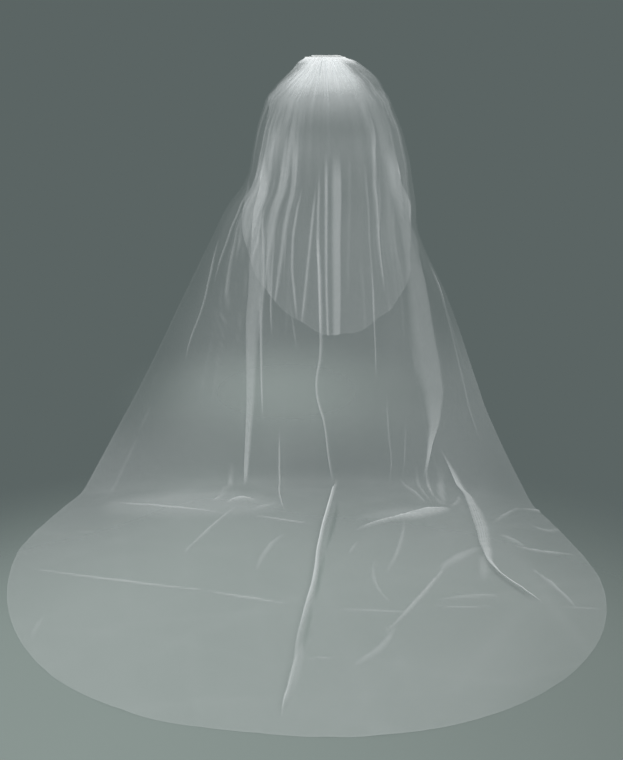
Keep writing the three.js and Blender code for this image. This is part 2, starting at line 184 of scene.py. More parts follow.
# A fold grows and fades over these levels, takes up no more than a share of the side, and packs its
# layers closer by a power of how far it narrows. On the train the folds open out towards the hem: by
# how much, from which level, over how far.
FOLD_GROWS, FOLD_FADES = 0.09, 0.07
FOLD_WIDEST = 0.16
FOLD_PACKING = 0.6
FOLDS_OPEN = (0.7, 1.45, 0.30)

# The grid's columns gather on the folds: the share of its part of the columns that a fold holds, how
# much wider than the fold they spread, their widest share of the side, and the levels over which an
# ended fold lets them go.
FOLD_COLUMNS = 0.4
COLUMN_ROOM = 1.1
COLUMNS_WIDEST = 0.14
LETS_GO = 0.25

# Fine pleats that fan out of the gathers, in sets: seed, how many, the sides and levels that they keep
# to, and their layers. Below are how far one wanders, and between what its length, half width and
# strength are drawn.
LONG_PLEATS = [
    (11, 26, (-.66, -.22), (.06, .62), 0.7),
    (12, 10, (.30, .66), (.05, .50), 0.35),
    (13, 16, (-.97, .97), (.04, .95), 0.4),
]
SHORT_PLEATS = [
    (21, 26, (-.56, -.22), (.05, .56), 0.8),
    (22, 12, (.28, .60), (.05, .48), 0.4),
    (23, 14, (-.95, .95), (.03, .60), 0.5),
]
PLEAT_WANDER = 0.10
PLEAT_LENGTH = (0.10, 0.38)
PLEAT_HALF = (0.0025, 0.0065)
PLEAT_STRENGTH = (0.3, 1.0)

# Extra layers of net that the gathers give, thinning out down the sheet.
GATHERED = np.array([
    (0, 14), (.012, 10.5), (.03, 5.8), (.045, 4.2), (.065, 2.4), (.10, .6), (.20, .08), (.40, 0),
    (2, 0),
])

# Reach of the short tier's cut edge, as a share of the fall, from the left free edge to the right one.
SHORT_HEM = np.array([
    (-.66, .27), (-.58, .34), (-.52, .405), (-.44, .465), (-.35, .525), (-.12, .61),
    (.10, .64), (.34, .60), (.50, .55), (.66, .45), (.74, .38),
])

# Waves of the gathers: how many across the sheet, phase, the levels where they begin, are full and have
# died out, and depth.
LONG_WAVES = [
    (43, 0.3, 0.000, 0.012, 0.13, 0.0026),
    (29, 1.1, 0.000, 0.040, 0.24, 0.0042),
    (17, 2.0, 0.020, 0.100, 0.45, 0.0060),
    (9.5, 0.4, 0.060, 0.260, 0.85, 0.0100),
    (5.0, 0.9, 0.100, 0.400, 1.00, 0.0120),
]

# Ridges, pressed creases and soft puckers of the train, in plan on the floor. bend is how far the
# middle of the line lies to the left of the straight way. Layers below 0 thin the net for painted
# shade: the dim line on the shaded side of the long ridge.
Mark = namedtuple("Mark", "x0 y0 x1 y1 bend half height layers flat")
FLOOR_MARKS = [
    Mark(-.76, -.48, -.35, -.56, .010, .0085, .0030, 2.0, 1),
    Mark(-.25, -.58, -.05, -.64, .000, .0080, .0025, 1.7, 1),
    Mark(-.93, -.95, -.34, -1.09, -.005, .0085, .0030, 1.7, 1),
    Mark(-.36, -1.09, -.13, -1.16, .000, .0080, .0028, 1.6, 1),
    Mark(-.01, -1.19, .25, -1.21, .002, .0070, .0028, 0.9, 1),
    Mark(.32, -1.17, .48, -1.17, -.010, .0070, .0030, 0.9, 1),
    Mark(.68, -1.18, .81, -1.19, .000, .0070, .0025, 0.6, 1),
    Mark(-.33, -.23, -.40, -.49, .006, .010, .008, 1.3, 1),
    Mark(-.31, -.50, -.46, -.86, -.009, .0085, .006, 1.5, 1),
    Mark(-.35, -.49, -.24, -.47, .030, .016, .010, 1.0, 2.5),
    Mark(-.17, -.47, -.27, -.54, .008, .010, .007, 0.9, 1),
    Mark(-.14, -.71, -.22, -.97, -.015, .014, .007, 0.8, 1.5),
    Mark(.10, -.69, .33, -.59, .019, .012, .012, 1.5, 1.5),
    Mark(.24, -.61, .44, -.525, -.002, .032, .014, 1.5, 2.5),
    Mark(.28, -.31, .36, -.49, .003, .010, .008, 1.0, 1),
    Mark(.33, -.27, .38, -.48, -.003, .008, .007, 0.9, 1),
    Mark(.37, -.23, .41, -.49, -.011, .007, .008, 1.5, 1),
    Mark(.43, -.26, .42, -.50, -.004, .015, .008, 0.8, 2.5),
    Mark(.43, -.52, .48, -.43, -.012, .006, .007, 1.4, 1),
    Mark(.27, -.61, .18, -.99, .014, .012, .007, 0.9, 1),
    Mark(.16, -.89, .19, -1.16, -.030, .008, .006, 0.9, 1),
    Mark(.10, -.78, .07, -.86, .000, .008, .006, 0.9, 1),
    Mark(.50, -.81, .35, -.96, -.006, .026, .008, 0.8, 1.5),
    Mark(.38, -.93, .16, -1.32, .005, .0095, .009, 1.9, 1),
    Mark(.19, -1.29, .06, -1.48, .018, .016, .007, 0.8, 1.5),
    Mark(-.06, -1.45, .04, -1.44, .005, .006, .004, 0.8, 1),
    Mark(.50, -.86, .48, -1.03, .003, .020, .006, 0.7, 2),
    Mark(.33, -1.14, .51, -1.12, .008, .012, .005, 0.7, 2),
    Mark(.57, -.64, .68, -.52, .005, .009, .007, 0.9, 1),
    Mark(.66, -.53, .79, -.65, .046, .008, .007, 1.2, 1),
    Mark(.70, -.65, .80, -.67, -.036, .009, .006, 1.0, 1),
    Mark(.58, -.72, .65, -.81, .001, .014, .007, 0.8, 1.5),
    Mark(.61, -.80, .80, -.86, -.012, .0085, .007, 1.4, 1),
    Mark(.64, -.95, .73, -1.19, .007, .010, .008, 1.2, 1),
    Mark(-.07, -1.37, -.11, -1.65, .001, .014, .008, 0.9, 2),
    # Painted shade: the net is thinned along the shaded side of the long ridge, for the dim line there.
    Mark(.045, -.48, -.004, -.84, .004, .011, .000, -0.7, 1.5),
    Mark(-.006, -.85, -.038, -1.15, .000, .011, .000, -0.7, 1.5),
    Mark(-.046, -1.17, -.072, -1.43, .000, .010, .000, -0.6, 1.5),
    Mark(-.82, -1.22, -.83, -1.35, -.004, .014, .005, 0.5, 1),
    Mark(-.84, -.70, -.77, -.70, -.003, .008, .004, 0.6, 1),
    Mark(-.78, -.52, -.14, -.50, .030, .150, .002, 0.8, 1.5),
    Mark(.10, -.60, .42, -.54, .010, .060, .002, 0.5, 1.2),
]


def mix(a, b, share):
    return a + (b - a) * share


def ease(share):
    """Smooth step: 3w^2 - 2w^3 of the share held between 0 and 1."""
    w = np.clip(share, 0, 1)
    return w * w * (3 - 2 * w)


def by_half(side, at, halves):
    """most * ease((at - start) / reach), with the left half's three numbers or the right half's."""
    most, start, reach = (np.where(side < 0, left, right) for left, right in zip(*halves))
    return most * ease((at - start) / reach)


def through(places, values, at):
    """Value on the smooth curve through the rows of a table: a cubic whose slope at each row is that of
    the line between its two neighbours."""
    places, values = np.asarray(places, float), np.asarray(values, float)
    last = len(places) - 1
    low, high = np.maximum(np.arange(last + 1) - 1, 0), np.minimum(np.arange(last + 1) + 1, last)
    slope = (values[high] - values[low]) / (places[high] - places[low])
    x = np.clip(at, places[0], places[last])
    i = np.clip(np.searchsorted(places, x, side="right") - 1, 0, last - 1)
    span = places[i + 1] - places[i]
    w = (x - places[i]) / span
    start = values[i] + slope[i] * span * w
    end = values[i + 1] - slope[i + 1] * span * (1 - w)
    return mix(start, end, w * w * (3 - 2 * w))


def section(name, drop):
    """One column of the sections' table at a share of the fall."""
    return through(SECTIONS[:, 0], SECTIONS[:, SECTION_COLUMNS.index(name)], drop)


def fall(side, drop):
    """The hanging cloth. Each level is an arc: x = half width times sin(side * wrap) over sin(wrap),
    and y goes from the back to the free edge with 1 - cos(side * wrap)."""
    wrap = np.radians(section("wrap", drop))
    left = mix(HEADING_HALF, FOOT_LEFT, section("left", drop))
    right = mix(HEADING_HALF, FOOT_RIGHT, section("right", drop))
    half = np.where(side < 0, left, right)
    back = -mix(HEADING_SETBACK, FOOT_BACK, section("back", drop))
    foot = mix(FOOT_EDGE_LEFT, FOOT_EDGE_RIGHT, (side + 1) / 2)
    top = 1 - ease(drop / 0.06)
    edge = (HEADING_BOW - HEADING_SETBACK) * top + section("front", drop) * SHOULDER_FRONT
    edge = edge - section("foot", drop) * foot
    x = half * np.sin(side * wrap) / np.sin(np.minimum(wrap, math.pi / 2))
    y = mix(back, edge, (1 - np.cos(side * wrap)) / (1 - np.cos(wrap)))
    return np.stack(np.broadcast_arrays(x, y, mix(FALL_TOP, FALL_FOOT, drop)), -1)


def train(side, along):
    """The cloth on the floor, from the foot of the fall at 0 to the hem at 1. Up to its widest line it
    spreads straight back. Past it a square grid is drawn into a half oval, x by sqrt(1 - w^2/2), y by
    sqrt(1 - side^2/2), and is turned a little, less so towards the left end of the hem."""
    foot = fall(side, np.ones_like(along))
    widest = (WIDEST_BACK - FOOT_BACK) / (WIDEST_BACK - FOOT_BACK + HEM_REACH)
    w = np.clip(along / widest, 0, 1)
    x1 = mix(foot[..., 0], TRAIN_SHIFT + TRAIN_HALF * side, 1 - (1 - w) ** 1.4)
    y1 = mix(foot[..., 1], -WIDEST_BACK - TRAIN_TURN * side, w)
    w = np.clip((along - widest) / (1 - widest), 0, 1)
    across = side * np.sqrt(1 - w * w / 2)
    turn = mix(TRAIN_TURN, HEM_TURN_LEFT, w * ease(-side / 0.6))
    x2 = TRAIN_SHIFT + TRAIN_HALF * across
    y2 = -WIDEST_BACK - HEM_REACH * w * np.sqrt(1 - side * side / 2) - turn * across
    near = along < widest
    return np.stack((np.where(near, x1, x2), np.where(near, y1, y2), foot[..., 2]), -1)


def smooth_sheet(side, down):
    """Fall and train joined by a rounded turn: near the floor both run slowly and their moves add
    up."""
    turn = FLOOR_BEND / (FALL_TOP - FALL_FOOT)
    past = down - 1
    flat = np.where(np.abs(past) < turn, (past + turn) ** 2 / (4 * turn), np.maximum(0, past))
    hang = 1 + np.minimum(0, past - flat)
    return fall(side, hang) + train(side, np.clip(flat, 0, 1)) - fall(side, np.ones_like(side * down))


def unit(v):
    return v / np.maximum(np.linalg.norm(v, axis=-1, keepdims=True), 1e-9)


def directions(side, down, step=0.004):
    """Unit vectors out of the sheet and across it, from the sheet's own slopes."""
    across = unit(smooth_sheet(side + step, down) - smooth_sheet(side - step, down))
    below, above = np.minimum(2, down + step), np.maximum(0, down - step)
    ahead = smooth_sheet(side, below) - smooth_sheet(side, above)
    return unit(np.cross(ahead, across)), across


def half_span(down):
    """Half the width of the sheet at a level, in metres."""
    span = mix(HEADING_HALF, (FOOT_LEFT + FOOT_RIGHT) / 2, section("left", np.minimum(down, 1)))
    return np.where(down > 1, TRAIN_HALF, span)


def ridge(away, flat):
    """Height across a fold, 1 in its middle and 0 at its edge: cos^2 of a quarter turn times
    away ^ flat."""
    return np.cos(np.clip(away, 0, 1) ** flat * math.pi / 2) ** 2


def along(fold, values, down):
    """One of a fold's rows of values at a level, on a smooth curve from its begin to its end."""
    return through(np.linspace(fold.begin, fold.end, len(values)), values, down)


def fold_half(fold, down):
    """Half width of a fold as a share of the side, which is held down up in the gathers."""
    return np.minimum(along(fold, fold.halves, down) / half_span(down), FOLD_WIDEST)


def strength(fold, down):
    """0 before a fold begins and after it ends, and 1 in between."""
    return ease((down - fold.begin) / FOLD_GROWS) * ease((fold.end - down) / FOLD_FADES)


def column_sides(folds, column, down):
    """Columns follow the folds: a fold's own columns stay in it on its whole way, the rest share what
    lies between, so the side of each column at each level is read off a line through these stops. The
    stops hang together like a row of springs, and once a fold has ended its pull lets go and they even
    out."""
    count = len(folds) + 1
    places = 2 * np.arange(1, count) / count - 1
    room = FOLD_COLUMNS / count
    springs = 2 * np.eye(count - 1) - np.eye(count - 1, k=1) - np.eye(count - 1, k=-1)
    ends = np.zeros(count - 1)
    ends[0], ends[-1] = -1, 1
    rows = []
    for level in down:
        there = np.array([ease((fold.end - level) / LETS_GO + 1) for fold in folds])
        centres = np.array([float(along(fold, fold.middles, level)) for fold in folds])
        halves = np.array([float(fold_half(fold, level)) for fold in folds])
        halves = np.minimum(halves * COLUMN_ROOM, COLUMNS_WIDEST)
        pull = 2 * there / (1.001 - there)
        centres = np.linalg.solve(springs + np.diag(pull), ends + pull * centres)
        stops, sides = [-1.0], [-1.0]
        for middle, centre, half in zip(places, centres, mix(room, halves, there)):
            stops += [middle - room, middle, middle + room]
            sides += [centre - half, centre, centre + half]
        in_order = np.maximum.accumulate(np.clip(sides, -1, 0.98)) + 1e-5 * np.arange(len(sides))
        rows.append(np.interp(column, stops + [1.0], np.append(in_order, 1.0)))
    return np.array(rows)


def fold_shape(folds, side, down):
    """Rise, lean and layers that the folds give. The same cloth drawn into a narrower fold lies in more
    layers, by a power of widest half / half here, and it opens out again towards the train's hem."""
    rise, lean, layers = (np.zeros_like(side) for _ in range(3))
    most, start, reach = FOLDS_OPEN
    pressed = 1 - most * ease((down - start) / reach)
    for fold in folds:
        away = np.abs(side - along(fold, fold.middles, down)) / fold_half(fold, down)
        bump = ridge(away, fold.flat) * strength(fold, down)
        rise += fold.height * bump
        lean += fold.lean * bump
        narrowed = max(fold.halves) / along(fold, fold.halves, down)
        layers += pressed * fold.layers * bump * narrowed ** FOLD_PACKING
    return rise, lean, layers


def fine_pleats(sets, side, down):
    """Narrow ragged pleats: each wanders from its own place, and swells and dies out on its own
    stretch, with the ridge shape across it."""
    rise, layers = np.zeros_like(side), np.zeros_like(side)
    for seed, count, (left, right), (first, last), strong in sets:
        draw = np.random.default_rng(seed)
        for _ in range(count):
            place, wander = draw.uniform(left, right), draw.normal(0, PLEAT_WANDER)
            phase = draw.uniform(0, 6.28)
            begin, length = draw.uniform(first, last - 0.12), draw.uniform(*PLEAT_LENGTH)
            half, size = draw.uniform(*PLEAT_HALF), draw.uniform(*PLEAT_STRENGTH)
            centre = place + wander * (down - begin) + 0.006 * np.sin(14 * down + phase)
            swell = ease((down - begin) / 0.05) * ease((begin + length - down) / 0.08)
            bump = ridge(np.abs(side - centre) / (half / half_span(down)), 1.0) * swell * size
            rise += 0.7 * half * bump
            layers += strong * bump
    return rise, layers


def wave_height(waves, column, down):
    """Gathers: a sum of sines across the sheet, each of which swells and dies out down its own stretch.
    Its crest is drawn up narrow by a quarter of its double, and all are calm near the free edges."""
    total = 0
    for count, phase, begin, full, end, depth in waves:
        size = ease((down - begin + 0.004) / (full - begin + 0.004))
        size = size * (1 - ease((down - full) / (end - full)))
        turn = math.pi * count * (column + 1) + phase
        turn = turn + 0.9 * np.sin(2.1 * column + count) + 0.5 * np.sin(5 * down)
        total = total + depth * size * (0.75 * np.sin(turn) + 0.25 * np.sin(2 * turn + 0.6))
    return total * (1 - 0.8 * ease((np.abs(column) - 0.75) / 0.25) * ease(down / 0.06))


def floor_marks(x, y):
    """Rise and layers of the marks on the floor: across each the ridge shape, along it the square root
    of a half sine, so that it fades in and out."""
    rise, layers = np.zeros_like(x), np.zeros_like(x)
    for mark in FLOOR_MARKS:
        dx, dy = mark.x1 - mark.x0, mark.y1 - mark.y0
        length = math.hypot(dx, dy)
        share = ((x - mark.x0) * dx + (y - mark.y0) * dy) / length**2
        inside = np.clip(share, 0, 1)
        off = ((y - mark.y0) * dx - (x - mark.x0) * dy) / length
        off = off - mark.bend * 4 * inside * (1 - inside)
        half = mark.half * (0.45 + 0.55 * np.sin(math.pi * inside))
        bump = ridge(np.abs(off) / half, mark.flat) * np.sqrt(np.sin(math.pi * inside).clip(0))
        rise += mark.height * bump
        layers += mark.layers * bump
    return rise, layers


def faint_wrinkles(x, y, seed, count, size):
    """Low ripples at many angles: sines across random directions, drawn up at their crests and shown in
    patches where a second slow sine is high."""
    draw = np.random.default_rng(seed)
    total = np.zeros_like(x)
    for _ in range(count):
        angle, pitch = draw.uniform(0, math.pi), draw.uniform(0.09, 0.26)
        phase, patch = draw.uniform(0, 6.28, 2)
        across = (x * math.cos(angle) + y * math.sin(angle)) / pitch * 2 * math.pi
        patchy = np.clip(np.sin(across / 3.7 + patch + 3 * y) - 0.2, 0, 1)
        total += np.clip(np.sin(across + phase + 1.4 * np.sin(5 * x + patch)), 0, 1) ** 3 * patchy
    return total * size


def linked(name, data):
    """A new object at the origin, in the scene."""
    made = bpy.data.objects.new(name, data)
    bpy.context.scene.collection.objects.link(made)
    return made


def grid_quads(index):
    """The four corners of each square in a grid of point numbers, rows by columns."""
    corners = index[:-1, :-1], index[1:, :-1], index[1:, 1:], index[:-1, 1:]
    return np.stack(corners, -1).reshape(-1, 4)


def smooth_piece(name, points, faces):
    mesh = bpy.data.meshes.new(name)
    mesh.from_pydata(points.tolist(), [], faces.tolist())
    mesh.polygons.foreach_set("use_smooth", np.ones(len(faces), bool))
    mesh.update()
    return linked(name, mesh)


def net_sheet(name, points, uv, layers):
    """A grid of points, rows by columns, as one quad mesh, with its flat-cloth UV in metres and the
    number of layers of net at each point as an attribute."""
    rows, columns = points.shape[:2]
    mesh = bpy.data.meshes.new(name)
    index = np.arange(rows * columns).reshape(rows, columns)
    quads = grid_quads(index)
    mesh.vertices.add(rows * columns)
    mesh.vertices.foreach_set("co", points.reshape(-1, 3).astype(np.float32).ravel())
    mesh.loops.add(quads.size)
    mesh.loops.foreach_set("vertex_index", quads.ravel().astype(np.int32))
    mesh.polygons.add(len(quads))
    mesh.polygons.foreach_set("loop_start", (np.arange(len(quads)) * 4).astype(np.int32))
    mesh.polygons.foreach_set("use_smooth", np.ones(len(quads), bool))
    mesh.update(calc_edges=True)
    mesh.uv_layers.new(name="cloth").data.foreach_set(
        "uv", uv.reshape(-1, 2)[quads.ravel()].astype(np.float32).ravel())
    mesh.attributes.new("layers", "FLOAT", "POINT").data.foreach_set(
        "value", layers.ravel().astype(np.float32))
    mesh.validate()
    return linked(name, mesh)


def steepness(points, out):
    """Cloth on the flank of a fold is seen through slantwise: a power of 1 over the cosine between the
    folded sheet and the smooth one, held to about twice."""
    normal = unit(np.cross(np.gradient(points, axis=0), np.gradient(points, axis=1)))
    return np.clip(np.abs((normal * out).sum(-1)), SLANT_LEAST, 1) ** -SLANT_POWER


def edge_band(u, v, width):
    """1 on the cut edge of the sheet and 0 a narrow width inside it."""
    inside = np.minimum(np.minimum(u - u[:, :1], u[:, -1:] - u), v[-1:, :] - v)
    return np.clip(1 - inside / width, 0, 1)


def length_down(points):
    """Length of cloth from the top row to each point, down its own column."""
    steps = np.linalg.norm(np.diff(points, axis=0), axis=-1)
    return np.concatenate((np.zeros((1, points.shape[1])), np.cumsum(steps, axis=0)))


def gathered(side, level):
    """Extra layers that the gathers give, fewer towards the free edges, above all on the right."""
    thinner = by_half(side, np.abs(side), GATHERS_THIN) * ease((level - 0.002) / 0.014)
    return through(GATHERED[:, 0], GATHERED[:, 1], level) * (1 - thinner)


def hanging_layers(side, level):
    """Layers of the hanging cloth by itself, thinner high up towards the free edges, where it lies in
    fewer folds."""
    thinner = by_half(side, np.abs(side), FALL_THINS) * (1 - by_half(side, level, FALL_THICKENS))
    return HANGING_NET * (1 + HANGING_MORE * ease((level - 0.52) / 0.15)) * (1 - thinner)


def long_tier_surface():
    """The long tier: the smooth sheet, moved out by gathers and folds, across where folds lie over, and
    up by the marks on the floor. It rests on the floor softly: half of height + hypot(height, ease).
    Its layers count all the net at a point."""
    side = column_sides(LONG_FOLDS, LONG_COLUMNS, LONG_ROWS)
    level = np.broadcast_to(LONG_ROWS[:, None], side.shape)
    out, across = directions(side, level)
    rise, lean, layers = fold_shape(LONG_FOLDS, side, level)
    pleats, pleat_layers = fine_pleats(LONG_PLEATS, side, level)
    rise = rise + pleats + wave_height(LONG_WAVES, side, level)
    points = smooth_sheet(side, level) + out * rise[..., None] + across * lean[..., None]
    on_floor = ease((level - MARKS_START) / MARKS_OVER)
    marks, mark_layers = floor_marks(points[..., 0], points[..., 1])
    ripple = faint_wrinkles(points[..., 0], points[..., 1], seed=5, count=7, size=0.0030)
    points[..., 2] += on_floor * (marks + ripple)
    above = points[..., 2] - FALL_FOOT
    points[..., 2] = FALL_FOOT + (above + np.hypot(above, FLOOR_EASE)) / 2
    extra = layers + pleat_layers + on_floor * (mark_layers + RIPPLE_LAYERS * ripple)
    on_train = ease((level - LAID_START) / LAID_OVER)
    laid = 1 - 0.3 * ease((side - 0.6) / 0.35)
    base = mix(hanging_layers(side, level), laid, on_train) + gathered(side, level)
    return points, base * mix(steepness(points, out), 1, on_train) + extra


def long_tier():
    """The long tier's sheet. Its flat cloth is measured across at the row where the train is widest,
    and down each column."""
    points, total = long_tier_surface()
    widest = np.argmin(np.abs(LONG_ROWS - WIDEST_LEVEL))
    flat_width = np.linalg.norm(np.diff(points[widest], axis=0), axis=-1)
    flat_x = np.concatenate(([0], np.cumsum(flat_width))) * (CUT_WIDTH / flat_width.sum())
    down = length_down(points)
    u = np.broadcast_to(flat_x[None, :], down.shape)
    total = total + EDGE_LAYERS * edge_band(u, down, EDGE_WIDTH)
    return net_sheet("long_tier_net", points, np.stack((u, down), -1), total)


def short_tier_surface():
    """The short tier: the long tier's smooth sheet, waves and folds, moved out by the gap between the
    tiers and by its own folds, down to its oval cut edge. Each column's reach is found in a few rounds,
    because the hem's table goes by the side on which the column ends."""
    table = column_sides(SHORT_FOLDS, SHORT_COLUMNS, np.linspace(0, LOWEST_REACH, REACH_ROWS + 1))
    pick = np.arange(len(SHORT_COLUMNS))[None, :]

    def side_at(level):
        """Side of each column at a level. The outer columns close in from the full side to the tier's
        own narrower one."""
        row = np.clip(level / LOWEST_REACH * REACH_ROWS, 0, REACH_ROWS - 0.001)
        low = row.astype(int)
        side = mix(table[low, pick], table[low + 1, pick], row - low)
        narrow = np.where(side < 0, SHORT_EDGE_LEFT, SHORT_EDGE_RIGHT)
        keep = narrow * 0.9
        drawn = mix(1, (narrow - keep) / (1 - keep), ease(level / SHORT_DRAWN))
        outer = np.sign(side) * (keep + (np.abs(side) - keep) * drawn)
        return np.where(np.abs(side) > keep, outer, side)

    reach = np.full((1, len(SHORT_COLUMNS)), 0.4)
    for _ in range(REACH_ROUNDS):
        reach = mix(reach, through(SHORT_HEM[:, 0], SHORT_HEM[:, 1], side_at(reach)), 0.6)
    level = SHORT_ROWS[:, None] * reach
    side = side_at(level)
    out, across = directions(side, level)
    under, _, _ = fold_shape(LONG_FOLDS, side, level)
    rise, lean, layers = fold_shape(SHORT_FOLDS, side, level)
    pleats, pleat_layers = fine_pleats(SHORT_PLEATS, side, level)
    gap = mix(TIER_GAP_TOP, TIER_GAP_HEM, SHORT_ROWS[:, None] ** 0.35)
    near_edge = ease((np.abs(SHORT_COLUMNS[None, :]) - 0.80) / 0.20)
    gap = gap * (1 - 0.75 * near_edge * ease(level / 0.03))
    rise = rise + gap + 0.6 * under + pleats + wave_height(LONG_WAVES, side, level)
    points = smooth_sheet(side, level) + out * rise[..., None] + across * lean[..., None]
    thinner = 0.4 * ease((np.abs(side) - 0.45) / 0.4) * (1 - ease(level / SHORT_DRAWN))
    bare = SHORT_NET * (1 - thinner)
    total = (bare + gathered(side, level)) * steepness(points, out) + layers + pleat_layers
    return points, total


def short_tier():
    """The short tier's sheet. Its flat cloth is as wide all the way down."""
    points, total = short_tier_surface()
    down = length_down(points)
    u = np.broadcast_to(np.linspace(0, SHORT_WIDTH, points.shape[1])[None, :], down.shape)
    total = total + EDGE_LAYERS * edge_band(u, down, EDGE_WIDTH)
    return net_sheet("short_tier_net", points, np.stack((u, down), -1), total)


def closed_wall(name, middle, out, thickness):
    """A closed wall on a grid of middle points: two faces half the thickness either side, joined at
    the rim."""
    rows, columns = middle.shape[:2]
    offset = out * thickness[..., None] / 2
    points = np.concatenate(((middle + offset).reshape(-1, 3), (middle - offset).reshape(-1, 3)))
    count = rows * columns
    index = np.arange(count).reshape(rows, columns)
    front = grid_quads(index)
    back = grid_quads(index + count)[:, [0, 3, 2, 1]]
    rim = np.concatenate((index[0, ::-1], index[1:, 0], index[-1, 1:], index[-2:0:-1, -1]))
    after = np.roll(rim, -1)
    sides = np.stack((rim, rim + count, after + count, after), -1)
    return smooth_piece(name, points, np.concatenate((front, back, sides)))


def heading():
    """The gathered tops: a firm low band on the bow of the comb, fluted by the gathers, with its top
    edge crinkled on one half and in a smooth roll on the other, sloping off into the tiers at both
    ends. Each column runs straight from the top edge to the bottom one, moved by sines across the
    band."""
    column, share = HEADING_COLUMNS, HEADING_ROWS
    shape = (len(share), column.shape[1])
    base = fall(np.broadcast_to(column, shape), np.zeros(shape))
    flute = np.sin(math.pi * HEADING_FLUTES * (column + 1) + 0.9 * np.sin(7 * column))
    fine = np.sin(math.pi * HEADING_CRINKLES * (column + 1) + 2.2 * np.sin(5 * column))
    slow = np.sin(11 * column + 1) * np.sin(4.3 * column)
    crinkled = 1 - ease((column - 0.05) / 0.2)
    roll = ridge(np.abs(column - 0.55) / 0.42, 1.0)
    crinkle = crinkled * (0.0010 * flute + 0.0006 * fine + 0.0008 * slow)
    slope = 0.0075 * ease((-column - 0.35) / 0.65) + 0.0085 * ease((column - 0.70) / 0.30)
    top = HEADING_HIGH.z - 0.0048 + crinkle + 0.0022 * roll - slope
    z = mix(top, HEADING_LOW.z + 0.0006, share)
    open_up = (1 - share) ** 2
    tuck = 0.0026 * share
    y = base[..., 1] + flute * 0.0010 * (0.4 + open_up) + fine * 0.0007 * (0.5 + open_up) + tuck
    y = y + 0.0012 * slow * open_up
    middle = np.stack((base[..., 0] + 0.0006 * fine * open_up, y, z), -1)
    across = unit(np.gradient(middle, axis=1))
    out = unit(np.cross(np.gradient(middle, axis=0), across))
    thickness = 0.0016 + 0.0030 * np.sin(math.pi * (0.10 + 0.84 * share)) ** 0.8 + 0 * column
    return closed_wall("gathered_ruffle", middle, out, thickness)


def tube(path, radius, sides=7):
    """A round thread along a closed path: rings of points square to the path, joined end to start."""
    ahead = unit(np.roll(path, -1, axis=0) - np.roll(path, 1, axis=0))
    side = unit(np.cross(ahead, np.array((1.0, 0.02, 0.03))))
    other = np.cross(ahead, side)
    turn = np.linspace(0, 2 * math.pi, sides, endpoint=False)[None, :, None]
    ring = np.cos(turn) * side[:, None, :] + np.sin(turn) * other[:, None, :]
    points = path[:, None, :] + radius * ring
    index = np.arange(len(path) * sides).reshape(len(path), sides)
    after = np.roll(index, -1, axis=0)
    corners = index, after, np.roll(after, -1, axis=1), np.roll(index, -1, axis=1)
    return points.reshape(-1, 3), np.stack(corners, -1).reshape(-1, 4)


STITCHES = 22
STITCHED_HALF = 0.044
THREAD_RADIUS = 0.00032
LOOP_HALF = 0.0052
LOOP_BACK, LOOP_LOW = 0.0035, 0.0040
LOOP_ROUND = 0.55


def stitches():
    """The thread that binds the heading to the comb: loops over the spine and through the gathers, one
    between each two teeth, each a rounded square in its own upright plane, cos and sin to a power."""
    turn = np.linspace(0, 2 * math.pi, 24, endpoint=False)
    round_y = np.sign(np.cos(turn)) * np.abs(np.cos(turn)) ** LOOP_ROUND
    round_z = np.sign(np.sin(turn)) * np.abs(np.sin(turn)) ** LOOP_ROUND
    points, faces, total = [], [], 0
    for x in np.linspace(-STITCHED_HALF, STITCHED_HALF, STITCHES):
        y = HEADING_BOW * (x / HEADING_HALF) ** 2 - LOOP_BACK + LOOP_HALF * round_y
        path = np.stack((x + 0.0009 * np.sin(turn), y, LOOP_HALF * round_z - LOOP_LOW), -1)
        loop, quads = tube(path, THREAD_RADIUS)
        points.append(loop)
        faces.append(quads + total)
        total += len(loop)
    return smooth_piece("comb_stitches", np.concatenate(points), np.concatenate(faces))


class Wire:
    """A shader value, a socket or a number. Python's operators add its Math nodes to the material."""

    def __init__(self, tree, value):
        self.tree, self.value = tree, value

    def node(self, kind, settings=(), **inputs):
        made = self.tree.nodes.new(kind)
        for name, value in dict(settings).items():
            if name == "stops":
                for stop, (place, colour) in zip(made.color_ramp.elements, value):
                    stop.position, stop.color = place, colour
            else:
                setattr(made, name, value)
        for name, value in inputs.items():
            key = int(name[1:]) if name[0] == "i" and name[1:].isdigit() else name.replace("_", " ")
            self.feed(made.inputs[key], value)
        return made

    def feed(self, socket, value):
        value = value.value if isinstance(value, Wire) else value
        if isinstance(value, bpy.types.NodeSocket):
            self.tree.links.new(value, socket)
        else:
            socket.default_value = value

    def maths(self, operation, *values):
        numbered = {f"i{k}": value for k, value in enumerate(values)}
        made = self.node("ShaderNodeMath", {"operation": operation}, **numbered)
        return Wire(self.tree, made.outputs[0])

    def __add__(self, other):
        return self.maths("ADD", self, other)

    def __radd__(self, other):
        return self.maths("ADD", other, self)

    def __sub__(self, other):
        return self.maths("SUBTRACT", self, other)

    def __rsub__(self, other):
        return self.maths("SUBTRACT", other, self)

    def __mul__(self, other):
        return self.maths("MULTIPLY", self, other)

    def __rmul__(self, other):
        return self.maths("MULTIPLY", other, self)

    def __rpow__(self, other):
        return self.maths("POWER", other, self)

    def lowest(self, other):
        return self.maths("MINIMUM", self, other)

    def highest(self, other):
        return self.maths("MAXIMUM", self, other)

    def sine(self):
        return self.maths("SINE", self)


def material(name, roughness, **constants):
    """A new material with values for its shader's own sockets. Gives the material, a Wire that adds
    its nodes, and its shader."""
    made = bpy.data.materials.new(name)
    made.use_nodes = True
    tree = made.node_tree
    shader = tree.nodes["Principled BSDF"]
    shader.inputs["Roughness"].default_value = roughness
    for key, value in constants.items():
        shader.inputs[key.replace("_", " ")].default_value = value
    return made, Wire(tree, None), shader


def noise(wire, vector, scale, detail=3.0):
    made = wire.node("ShaderNodeTexNoise", Vector=vector, Scale=scale, Detail=detail)
    return Wire(wire.tree, made.outputs[0])


